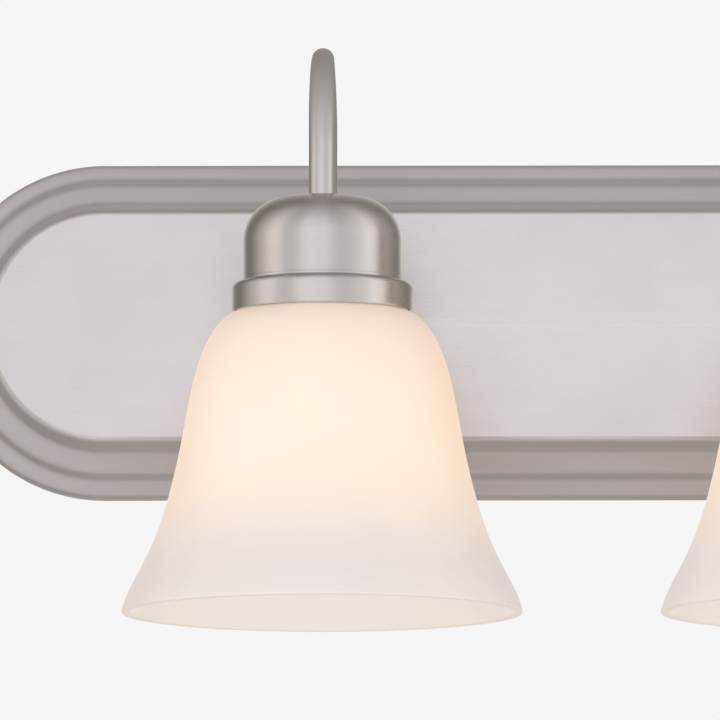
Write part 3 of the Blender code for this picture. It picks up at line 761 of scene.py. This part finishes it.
def build_cup(side):
    low, high, radius = measured(f"socket_cup_{side}")
    outer = [(4.9 * MM, high.z)]
    outer += arc((radius - CUP_SHOULDER, high.z - CUP_SHOULDER), CUP_SHOULDER, 90, 0, 24)
    outer += [(radius, low.z + 1.5 * MM), (radius + 0.25 * MM, low.z + 0.5 * MM), (radius + 0.1 * MM, low.z)]
    build_shell("domed_cup", "socket_cup", side, outer)


def build_collar(side):
    low, high, radius = measured(f"shade_collar_{side}")
    corner = COLLAR_CORNER
    outer = [(20.8 * MM, high.z), (radius - corner - 1.2 * MM, high.z)]
    outer += arc((radius - corner, high.z - corner), corner, 90, 0, 10)
    outer += [(radius, low.z + 0.5 * MM), (radius - 0.25 * MM, low.z)]
    build_shell("collar_ring", "shade_collar", side, outer)


# The glass


def bell_outline(neck_z, rim_z):
    """The bell's outer side below the collar: a quick swell, then a long waist that flares to the rim."""
    neck, rim = Vector((30.4 * MM, neck_z)), Vector((70.3 * MM, rim_z))
    bends = at(0.0, (42.4, -9.7), (46.0, -32.3), (47.9, -42.6), (56.7, -93.2), (65.7, -94.7))
    swell, drop, waist, flare, curl = (Vector(bend) for bend in bends)
    upper = interpolate_bezier(neck, swell, drop, waist, 24)
    return [tuple(point) for point in upper + interpolate_bezier(waist, flare, curl, rim, 34)[1:]]


def build_shade(side, lip_steps=8):
    """The blown bell: flat-topped neck, thin wall and a fire-polished lip."""
    low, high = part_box(f"shade_{side}")
    neck_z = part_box(f"shade_collar_{side}")[0].z - 0.1 * MM
    neck = [(20.9 * MM, high.z), (30.0 * MM, high.z), (30.0 * MM, neck_z + 1.5 * MM), (30.4 * MM, neck_z)]
    outer = rounded(neck, 1.6 * MM) + bell_outline(neck_z, low.z + 1.1 * MM)[1:]
    inner = offset(outer, GLASS)
    bell = outer[:-1]
    foot, heel = Vector(outer[-1]), Vector(inner[-1])
    centre, reach = (foot + heel) / 2, (foot - heel).length / 2
    tilt = atan2(foot.y - centre.y, foot.x - centre.x)
    for step in range(lip_steps + 1):
        angle = tilt - pi * step / lip_steps
        bell.append((centre.x + reach * cos(angle), max(centre.y + 0.75 * reach * sin(angle), low.z)))
    bell += inner[-2::-1]
    look = {"steps": BELL_TURN, "closed": True, "sharp": GLASS_SHARP}
    build_turned("bell_glass", "shade", side, bell, "frosted_glass", f"shade_{side}", **look)


def build_shade_ring(side):
    """The threaded ring, with flutes round its skirt to grip."""
    low, high, outer = measured(f"shade_ring_{side}")
    step_z = high.z - 2 * MM
    skirt = [(RING_BORE, high.z), (outer, high.z), (outer, step_z), (22.6 * MM, step_z), (22.6 * MM, low.z)]
    section = rounded(skirt, 0.4 * MM, 3) + rows(RING_BORE, low.z, high.z, RING_PITCH)[:-1]
    thread = (RING_PITCH, -0.5 * MM, low.z, high.z, RING_BORE)
    look = {"closed": True, "thread": thread, "facets": (30, 0.5 * MM)}
    build_turned("retaining_ring", "shade_ring", side, section, "phenolic", f"shade_ring_{side}", **look)


def build_lampholder(side):
    """The insulating body: neck, wiring chamber, floor, flange and threaded barrel."""
    low, high, flange = measured(f"lampholder_{side}")
    flange_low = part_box(f"shade_collar_{side}")[1].z + GAP
    flange_top = flange_low + 2.0 * MM
    outside = at(high.z, (4.6, 0), (17.5, 0)) + [(17.5 * MM, flange_top), (flange, flange_top)]
    outside += [(flange, flange_low), (BARREL_ROOT, flange_low)]
    thread_top, thread_foot = flange_low - 0.5 * MM, low.z + 0.8 * MM
    section = rounded(outside, 0.5 * MM, 3) + rows(BARREL_ROOT, thread_top, thread_foot, RING_PITCH)
    section += at(low.z, (18.5, 0), (14.6, 0))
    floor, floor_top = HOLDER_FLOOR
    section += at(high.z, (14.6, floor), (1.7, floor), (1.7, floor_top), (12.5, floor_top), (12.5, -3.6))
    section += at(high.z, (4.6, -3.6))
    thread = (RING_PITCH, BARREL_RADIUS - BARREL_ROOT, thread_foot, thread_top, BARREL_ROOT)
    body = turned(f"lampholder_body_{side}", section, AXIS[side], closed=True, thread=thread)
    floor_z, floor_top_z = high.z + floor * MM, high.z + floor_top * MM
    lead_hole = (AXIS[side].x + NEUTRAL_LEAD_X, AXIS[side].y, (floor_z + floor_top_z) / 2)
    drilled(body, [(lead_hole, LEAD_RADIUS + GAP)], 2 * (floor_top_z - floor_z))
    place_piece(body, f"lampholder_{side}", "phenolic")


def build_socket_metal(side):
    """The brass shell that takes the lamp's thread, and the contact with its rivet."""
    low, high, widest = measured(f"screw_shell_{side}")
    outer = widest - BRASS_SHEET
    thread_top, mouth = high.z - 1.0 * MM, 8.0 * MM
    section = [(mouth, high.z), (outer - 1.5 * MM, high.z)] + rows(outer, thread_top, low.z, CAP_PITCH)
    section += rows(outer - BRASS_SHEET, low.z, high.z - 1.4 * MM, CAP_PITCH)
    section.append((mouth, high.z - BRASS_SHEET))
    look = {"closed": True, "thread": (CAP_PITCH, 0.4 * MM, low.z, thread_top, outer), "wall": BRASS_SHEET}
    build_turned("shell_thread", "screw_shell", side, section, "brass", **look)
    low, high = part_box(f"centre_contact_{side}")
    section = at(high.z, (0, 0), (1.6, -0.1), (2.5, -0.8), (2.5, -1.0), (1.4, -1.0))
    section += at(low.z, (1.4, 1.0), (4.6, 0.9), (5.0, 0.6), (4.4, 0.3), (1.5, 0), (0, 0))
    build_turned("contact_rivet", "centre_contact", side, section, "brass", steps=SMALL_TURN)


def build_lamp_cap(side):
    """The lamp's solder contact and its cap with a rolled thread."""
    low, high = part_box(f"bulb_tip_{side}")
    section = at(high.z, (0, 0), (1.6, -0.05), (3.2, -0.3), (4.3, -0.75)) + at(low.z, (4.4, 0), (0, 0))
    look = {"steps": SMALL_TURN, "sharp": GLASS_SHARP}
    build_turned("solder_contact", "bulb_tip", side, section, "solder", f"bulb_tip_{side}", **look)
    low, high, widest = measured(f"bulb_cap_{side}")
    outer = widest - 0.55 * MM
    thread_top, thread_foot = high.z - 4.4 * MM, low.z + 2.6 * MM
    section = at(high.z, (0, 0), (5.2, 0), (5.3, 0), (9.6, -3), (11.4, -3.4))
    section += rows(outer, thread_top, thread_foot, CAP_PITCH)
    section += [(outer, low.z + 1.8 * MM), (outer + 0.45 * MM, low.z + 1.2 * MM), (outer + 0.45 * MM, low.z)]
    section += at(low.z, (12.1, 0), (12.1, 15.0), (0, 15.0))
    thread = (CAP_PITCH, 0.5 * MM, thread_foot, thread_top, outer)
    build_turned("lamp_cap", "bulb_cap", side, section, "brass", f"bulb_{side}", thread=thread)


def build_lamp_globe(side, steps=24):
    """The lamp's thin glass: its neck swells smoothly into a ball."""
    low, high, radius = measured(f"bulb_globe_{side}")
    neck = 11.7 * MM
    belly = low.z + radius
    neck_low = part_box(f"bulb_cap_{side}")[0].z - 2 * MM
    outer = [(neck, high.z)]
    for step in range(steps + 1):
        t = step / steps
        outer.append((neck + (radius - neck) * (1 - cos(pi * t)) / 2, neck_low + (belly - neck_low) * t))
    outer += arc((0.0, belly), radius, 0, -90, 20)[1:-1]
    inner = offset(outer, LAMP_GLASS)[::-1]
    section = outer + [(0.0, low.z), (0.0, low.z + LAMP_GLASS)] + inner
    look = {"closed": True, "sharp": GLASS_SHARP}
    build_turned("lamp_globe", "bulb_globe", side, section, "lamp_glass", f"bulb_{side}", **look)


# Fasteners and wiring


def hexagon_nut(name, node, bore, half_height):
    """A hexagon nut with its corners chamfered at both ends."""
    corner = measured(node)[2]
    half_side = tau / (2 * HEXAGON)
    upper = [(bore, half_height), (corner * 0.86, half_height), (corner, half_height - 0.7 * MM)]
    section = upper + [(radius, -level) for radius, level in reversed(upper)]

    def shaped(radius, level, step):
        if radius < corner:
            return radius, level
        from_flat = (tau * step / KNOB_TURN) % (2 * half_side) - half_side
        return radius * cos(half_side) / cos(from_flat), level

    nut = lathed(name, section, shaped, KNOB_TURN, True, 24)
    nut.location = middle(node)
    return nut


def toothed_washer(name, node, bore, teeth=14, tooth_steps=8, tooth_width=5):
    """An external-tooth lock washer: its teeth are twisted a little out of flat."""
    low, high, outer = measured(node)
    thickness = high.y - low.y
    upper = [(bore, 0.5), (outer * 0.80, 0.5), (outer, 0.5)]
    section = upper + [(radius, -level) for radius, level in reversed(upper)]

    def shaped(radius, level, step):
        twist = 0.0
        if radius == outer:
            place = step % tooth_steps
            if place < tooth_width:
                twist = (place - 2) * 0.04
            else:
                radius = outer * 0.84
        return radius, thickness * (level * 0.55 + twist)

    washer = lathed(name, section, shaped, teeth * tooth_steps, True, 30)
    washer.location = middle(node)
    return washer


def build_arm_fixings(side):
    """The nut and washer behind the backplate, and the nut in the cup."""
    bore = 5.05 * MM
    low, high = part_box(f"arm_lock_nut_{side}")
    nut = hexagon_nut(f"lock_nut_{side}", f"arm_lock_nut_{side}", bore, (high.y - low.y) / 2)
    place_piece(out_of_wall(nut), f"arm_lock_nut_{side}", "zinc_steel")
    low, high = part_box(f"cup_nut_{side}")
    nut = hexagon_nut(f"cup_hexagon_nut_{side}", f"cup_nut_{side}", 4.6 * MM, (high.z - low.z) / 2)
    place_piece(nut, f"cup_nut_{side}", "zinc_steel")
    washer = toothed_washer(f"star_washer_{side}", f"arm_lock_washer_{side}", bore)
    place_piece(out_of_wall(washer), f"arm_lock_washer_{side}", "zinc_steel")


def build_crossbar():
    """The stamped strap, with its slots, tapped holes and eased edges."""
    low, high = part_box("crossbar")
    corner, edge = 4 * MM, 0.3 * MM
    slot_x, slot_length, slot_width = 44.45 * MM, 11 * MM, 4.8 * MM
    hole_radius = 2.4 * MM
    curve = bpy.data.curves.new("mounting_strap", "CURVE")
    curve.dimensions = "2D"
    curve.fill_mode = "BOTH"
    curve.extrude = (high.y - low.y) / 2 - edge
    curve.bevel_depth = edge
    curve.bevel_resolution = 3
    curve.offset = -edge
    width, height = high.x - low.x, high.z - low.z
    outline = []
    for turn, (sign_x, sign_y) in enumerate(((1, 1), (-1, 1), (-1, -1), (1, -1))):
        centre = (sign_x * (width / 2 - corner), sign_y * (height / 2 - corner))
        outline += arc(centre, corner, 90 * turn, 90 * turn + 90, 8)
    loops = [outline]
    for sign in (-1, 1):
        loops.append([(sign * slot_x + x, y) for x, y in pill(slot_length, slot_width, 10)])
    stud_x = middle("stud_right").x
    ground = middle("ground_screw")
    for x, z in ((stud_x, 0.0), (-stud_x, 0.0), (ground.x, ground.z)):
        loops.append([(x + px, z + pz) for px, pz in arc((0.0, 0.0), hole_radius, 0, 345, 23)])
    for loop in loops:
        spline = curve.splines.new("POLY")
        spline.points.add(len(loop) - 1)
        for point, (x, y) in zip(spline.points, loop):
            point.co = (x, y, 0.0, 1.0)
        spline.use_cyclic_u = True
    strap = linked("mounting_strap", curve)
    mesh = bpy.data.meshes.new_from_object(strap.evaluated_get(bpy.context.evaluated_depsgraph_get()))
    bpy.data.objects.remove(strap, do_unlink=True)
    welder = bmesh.new()
    welder.from_mesh(mesh)
    bmesh.ops.remove_doubles(welder, verts=welder.verts, dist=1e-6)
    strap = out_of_wall(finished("mounting_strap", welder, 30))
    strap.location = (0.0, (low.y + high.y) / 2, 0.0)
    place_piece(strap, "crossbar", "zinc_steel")


def build_stud(side):
    """A machine-threaded stud; its helix is real geometry."""
    low, high, radius = measured(f"stud_{side}")
    length = high.y - low.y
    shank = length - 0.3 * MM
    root = radius - STUD_THREAD
    section = [(0.0, length), (root * 0.8, length), (root, shank)]
    section += rows(root, shank, 0.0, STUD_PITCH)[1:] + [(0.0, 0.0)]
    thread = (STUD_PITCH, STUD_THREAD, 0.0, shank, root)
    place = (middle(f"stud_{side}").x, high.y, 0.0)
    stud = turned(f"threaded_stud_{side}", section, place, STUD_TURN, thread=thread, sharp=80)
    place_piece(out_of_wall(stud), f"stud_{side}", "zinc_steel")


def build_cap_nut(side):
    """The domed knob and its washer, in the bar's own finish."""
    x = middle(f"cap_nut_{side}").x
    low, high, outer = measured(f"cap_washer_{side}")
    thickness = high.y - low.y
    section = [(STUD_HOLE, thickness), (outer, thickness), (outer, 0.0), (STUD_HOLE, 0.0)]
    section = rounded(section, 0.3 * MM, 3, closed=True)
    washer = turned(f"knob_washer_{side}", section, (x, high.y, 0.0), KNOB_TURN, closed=True)
    place_piece(out_of_wall(washer), f"cap_washer_{side}", "brushed_nickel", f"cap_washer_{side}")
    low, high, radius = measured(f"cap_nut_{side}")
    length = high.y - low.y
    shoulder, groove = length - radius, radius - 0.5 * MM
    waist = [(radius, shoulder - 1.0 * MM), (groove, shoulder - 1.6 * MM)]
    waist += [(groove, shoulder - 2.2 * MM), (radius, shoulder - 2.8 * MM)]
    foot = [(radius, 0.8 * MM), (radius - 0.8 * MM, 0.0)] + at(0.0, (2.45, 0), (2.45, 12.3), (0, 12.3))
    section = arc((0.0, shoulder), radius, 90, 8, 16) + rounded(waist + foot, 0.35 * MM, 3)
    knob = turned(f"knob_{side}", section, (x, high.y, 0.0), KNOB_TURN, sharp=50)
    place_piece(out_of_wall(knob), f"cap_nut_{side}", "brushed_nickel", f"cap_nut_{side}")


def smooth_route(turns, steps):
    """Points along a curve through the turns, whose slope at each one follows its neighbours."""
    points = [Vector(turns[0])]
    for index in range(len(turns) - 1):
        here, there = Vector(turns[index]), Vector(turns[index + 1])
        before = Vector(turns[max(index - 1, 0)])
        after = Vector(turns[min(index + 2, len(turns) - 1)])
        handle = (there - here).length / 3
        leaving = (there - before).normalized() * handle
        arriving = (after - here).normalized() * handle
        points += interpolate_bezier(here, here + leaving, there - arriving, there, steps + 1)[1:]
    return points


def pan_route(lead_x, sign, slot):
    """From the arm's rear end along the pan and into the connector's mouth."""
    rank = slot * sign
    low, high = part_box("hot_connector" if sign > 0 else "neutral_connector")
    mouth_x = (low.x + high.x) / 2
    plane_y = (low.y + high.y) / 2
    mouth_z = low.z if sign > 0 else -high.z
    towards = 1 if mouth_x > lead_x else -1
    entry_angle = radians(300 + 120 * rank)
    entry_x = mouth_x + sign * LEAD_SPREAD * cos(entry_angle)
    entry_y = plane_y + LEAD_SPREAD * sin(entry_angle)
    lane_z = sign * (17.0 * MM if rank < 0 else 14.0 * MM)
    return [
        (lead_x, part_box("arm_left")[1].y, 0.0),
        (lead_x + 4 * MM * towards, entry_y, 0.3 * lane_z),
        (lead_x + 16 * MM * towards, entry_y, lane_z),
        (entry_x - 12 * MM * towards, entry_y, lane_z),
        (entry_x, entry_y, sign * (mouth_z - 1 * MM)),
        (entry_x, entry_y, sign * (mouth_z + 8 * MM)),
    ]


def place_lead(name, node, slot, route):
    lead = swept(name, route, [LEAD_RADIUS] * len(route), LEAD_SIDES)
    place_piece(lead, node, slot)


def build_leads(side):
    """The two wires of a light, from its lampholder through the arm to the connectors."""
    axis = AXIS[side]
    end_z = arm_end_z(side)
    rear_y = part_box("arm_left")[1].y
    holder_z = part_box(f"lampholder_{side}")[1].z
    contact_turns = [(axis.x, axis.y, holder_z - 12.5 * MM), (axis.x + 0.6 * MM, axis.y, holder_z - 9.5 * MM)]
    shell_turns = [(axis.x + NEUTRAL_LEAD_X, axis.y, holder_z + level * MM) for level in HOLDER_FLOOR]
    shell_turns.append((axis.x - 5.5 * MM, axis.y, holder_z - 9.1 * MM))
    for node, sign, slot, turns in (
        ("hot_lead", 1, "black_insulation", contact_turns),
        ("neutral_lead", -1, "white_insulation", shell_turns),
    ):
        x = axis.x + sign * LEAD_OFFSET
        route = smooth_route(turns + [(x, axis.y, end_z)], 5)
        route += arm_path(side, x, rear_y - 1 * MM, end_z + 2 * MM, 12)[::-1]
        route += smooth_route(pan_route(x, sign, SIDES[side]), 9)
        place_lead(f"wire_{node}_{side}", f"{node}_{side}", slot, route)


def build_ground():
    """The green earth screw, with a washer under its head and a round recess, and its lead."""
    low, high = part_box("ground_screw")
    place = ((low.x + high.x) / 2, high.y, (low.z + high.z) / 2)
    head = ((0, -1.0), (0.5, -0.9), (1.1, -0.1), (2.2, 0), (3.0, -0.25), (3.3, -1.3), (4.2, -1.5))
    section = at(high.y - low.y, *head) + at(0.0, (4.2, 2.5), (2.0, 2.5), (2.0, 0), (0, 0))
    screw = turned("earth_screw", section, place, SMALL_TURN, sharp=30)
    place_piece(out_of_wall(screw), "ground_screw", "green_zinc")
    start = Vector((place[0] - 5.5 * MM, -3.9 * MM, place[2] + 3 * MM))
    turns = [start, (start.x, start.y, -20 * MM), (4 * MM, -9 * MM, -28 * MM), (-12 * MM, -17 * MM, -31 * MM)]
    turns.append((-24 * MM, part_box("backplate")[0].y + SHEET + LEAD_RADIUS + GAP, -30 * MM))
    place_lead("earth_wire", "ground_wire", "green_insulation", smooth_route(turns, 10))


def build_connector(node, flip):
    """A twist-on connector: a ribbed cone with a rolled mouth."""
    low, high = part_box(node)
    length = high.z - low.z
    section = at(length, (0, 0), (2.4, -0.1), (3.5, -1.0))
    section += at(0.0, (4.3, 13.0), (5.0, 8.6), (5.5, 7.4), (5.9, 1.2), (6.4, 0.6), (6.2, 0), (4.6, 0.1))
    section += at(0.0, (4.3, 0.8), (3.7, 12.0), (0, 12.0))
    place = ((low.x + high.x) / 2, (low.y + high.y) / 2, high.z if flip else low.z)
    ribs = (16, 0.55 * MM)
    cap = turned(f"twist_{node}", section, place, CONNECTOR_TURN, facets=ribs, sharp=50)
    if flip:
        cap.rotation_euler = (pi, 0.0, 0.0)
    place_piece(cap, node, "orange_plastic")


# The set


def build_floor():
    shader = Shader("pale_floor", Roughness=0.85, Emission_Strength=FLOOR_GLOW)
    cloud = shader.noise(shader.position(), 1.2, 4.0, 0.5)
    tone = shader.mixed(shader.spread(cloud, 0.0, 1.0), (0.86, 0.86, 0.86), (0.90, 0.90, 0.90))
    for socket in ("Base Color", "Emission Color"):
        shader.join(tone, shader.surface[socket])
    builder = bmesh.new()
    bmesh.ops.create_grid(builder, x_segments=2, y_segments=2, size=FLOOR_SIZE / 2)
    floor = finished("floor", builder)
    floor.location = (0.0, 0.0, FLOOR_Z)
    floor.data.materials.append(shader.material)
    floor.visible_glossy = False
    floor.visible_diffuse = False


GREY = (1.0, 1.0, 1.0)
COOL = (1.0, 1.0, 1.05)
WARM = (1.05, 1.0, 0.945)
ROSE = (1.06, 1.0, 1.01)
# The studio's light: (degrees round from straight ahead, tint, level) and (height, tint, level),
# multiplied together. Broad panels stand ahead and at both sides, with gaps between them.
LIGHT_ROUND = (
    (-180, WARM, 0.78),
    (-162, WARM, 0.55),
    (-145, WARM, 0.22),
    (-125, WARM, 0.24),
    (-112, WARM, 0.45),
    (-93, WARM, 0.74),
    (-78, WARM, 1.02),
    (-66, GREY, 0.98),
    (-56, GREY, 0.76),
    (-46, GREY, 0.73),
    (-37, GREY, 0.85),
    (-26, GREY, 1.07),
    (0, COOL, 1.05),
    (8, COOL, 1.02),
    (17, COOL, 0.86),
    (30, GREY, 0.77),
    (44, GREY, 0.83),
    (60, GREY, 0.98),
    (73, GREY, 1.20),
    (85, WARM, 1.03),
    (97, WARM, 0.62),
    (112, WARM, 0.50),
    (129, WARM, 0.30),
    (145, WARM, 0.24),
    (162, WARM, 0.55),
    (180, WARM, 0.78),
)
LIGHT_UPWARD = (
    (-0.3, GREY, 0.88),
    (-0.1, GREY, 0.97),
    (0.11, GREY, 1.06),
    (0.3, GREY, 1.00),
    (0.54, GREY, 0.88),
    (0.75, GREY, 0.73),
    (0.91, ROSE, 0.54),
    (1.0, ROSE, 0.43),
)


def sky(tree, part, reach, stops):
    """A colour by one measure of the direction, which runs from -reach to reach."""
    shares = [((place / reach + 1) / 2, tinted(tint, level)) for place, tint, level in stops]
    return tree.ramp(tree.spread(part, 0.0, 1.0, -reach, reach), shares, "LINEAR")


def build_world():
    """A studio of soft light; the camera itself sees a plain pale surround."""
    world = bpy.data.worlds.new("studio")
    bpy.context.scene.world = world
    world.use_nodes = True
    world.node_tree.nodes.clear()
    tree = Tree(world.node_tree)
    x, y, z = tree.parts(tree.add("TexCoord").outputs["Generated"])
    turn = tree.math("ARCTAN2", x, tree.times(y, -1.0))
    light_round = [(radians(angle), tint, level) for angle, tint, level in LIGHT_ROUND]
    light = tree.mixed(1.0, sky(tree, turn, pi, light_round), sky(tree, z, 1.0, LIGHT_UPWARD), "MULTIPLY")
    lit = tree.add("Background", Color=light, Strength=LIGHT_LEVEL)
    plain = tree.add("Background", Color=(*SURROUND, 1.0))
    split = tree.add("MixShader")
    seen_by_camera = tree.add("LightPath").outputs["Is Camera Ray"]
    tree.join_all((seen_by_camera, lit.outputs[0], plain.outputs[0]), split.inputs)
    tree.join(split.outputs[0], tree.add("OutputWorld").inputs[0])


def build_softbox():
    light = bpy.data.lights.new("key", "AREA")
    light.size = KEY_SIZE
    light.energy = KEY_POWER
    softbox = linked("key", light)
    softbox.location = KEY_PLACE
    softbox.rotation_euler = (-Vector(KEY_PLACE)).to_track_quat("-Z", "Y").to_euler()
    softbox.visible_glossy = False


def build_camera():
    lens = bpy.data.cameras.new("camera")
    lens.lens = CAMERA_LENS
    lens.sensor_width = SENSOR
    lens.clip_end = CAMERA_REACH
    camera = linked("camera", lens)
    camera.location = (AXIS["left"].x + CAMERA_ASIDE, AXIS["left"].y - CAMERA_DISTANCE, -CAMERA_DROP)
    camera.rotation_euler = (radians(90 + CAMERA_PITCH), 0.0, radians(CAMERA_YAW))
    bpy.context.scene.camera = camera


def main():
    build_camera()
    build_floor()
    build_world()
    build_softbox()
    bpy.context.scene.view_settings.view_transform = "Standard"
    build_backplate()
    build_crossbar()
    for side in ENDS:
        build_stud(side)
        build_cap_nut(side)
    build_ground()
    build_connector("hot_connector", flip=False)
    build_connector("neutral_connector", flip=True)
    arm = (build_arm, build_arm_fixings, build_cup, build_collar)
    light = (build_shade, build_shade_ring, build_lampholder, build_socket_metal)
    lamp = (build_lamp_cap, build_lamp_globe, build_leads)
    for side in SIDES:
        for build in (*arm, *light, *lamp):
            build(side)


main()
